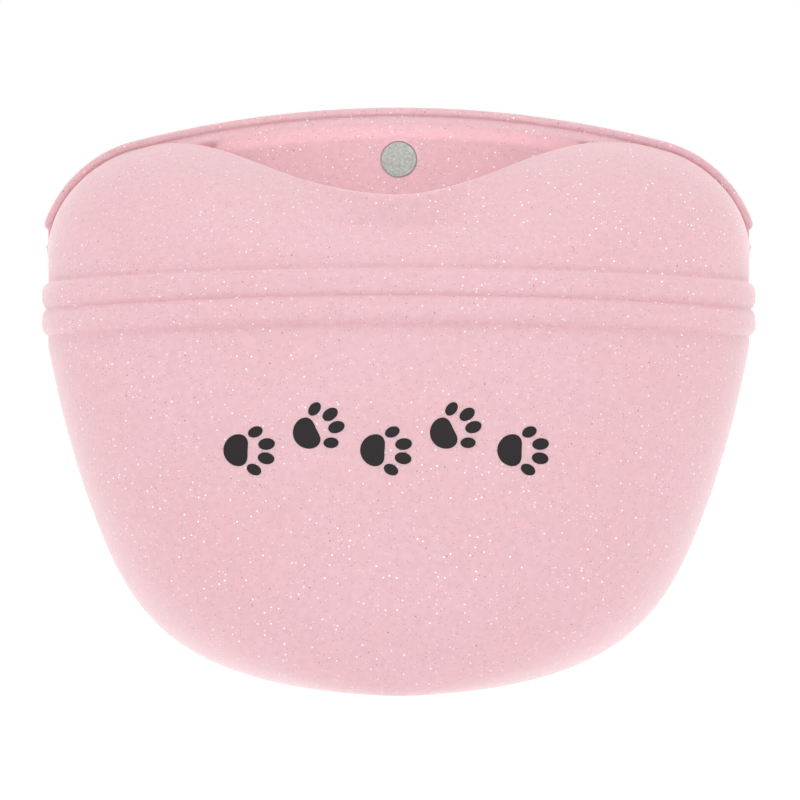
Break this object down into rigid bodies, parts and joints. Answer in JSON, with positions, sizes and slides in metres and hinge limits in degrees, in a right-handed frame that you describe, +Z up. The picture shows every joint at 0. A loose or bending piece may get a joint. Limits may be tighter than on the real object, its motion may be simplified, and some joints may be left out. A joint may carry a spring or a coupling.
{
  "type": "treat pouch",
  "caption": "Soft moulded treat pouch with an arched back panel, ribbed belly, magnetic mouth and a sprung belt clip.",
  "frame": {"origin": "top middle of the belt slot, where a belt's upper edge bears under the clip's barrel", "axes": "+X to the right of someone facing the pouch's front, front faces -Y, +Z up"},
  "size_m": [0.1664, 0.0671, 0.1347],
  "materials": {
    "silicone": "matt translucent pink silicone with fine silver glitter",
    "magnet": "satin nickel plate",
    "clip_plastic": "fine spark-eroded texture",
    "grip_rubber": "matt",
    "steel": "bright drawn steel",
    "print_ink": "matt near-black printing ink"
  },
  "bodies": {
    "pouch": {"pouch_body": "silicone", "back_magnet": "magnet", "backing_plate": "clip_plastic", "clip_base": "clip_plastic", "pin_washers": "steel", "hinge_pin": "steel", "torsion_spring": "steel", "clip_rivets": "steel"},
    "lip": {"front_lip": "silicone", "lip_magnet": "magnet"},
    "jaw": {"clip_lever": "clip_plastic", "jaw_pad": "grip_rubber"}
  },
  "joints": [
    {"name": "mouth_close", "type": "slide", "parent": "pouch", "child": "lip", "axis": [0, 0.8982, 0.4397], "range_m": [0, 0.03184], "stiffness_N_per_m": 40},
    {"name": "jaw_open", "type": "hinge", "parent": "pouch", "child": "jaw", "pos_m": [0, 0.0019, 0.004], "axis": [1, 0, 0], "range_deg": [0, 20], "stiffness_Nm_per_rad": 0.6, "springref_deg": -22.92, "deforming": ["torsion_spring"]}
  ]
}
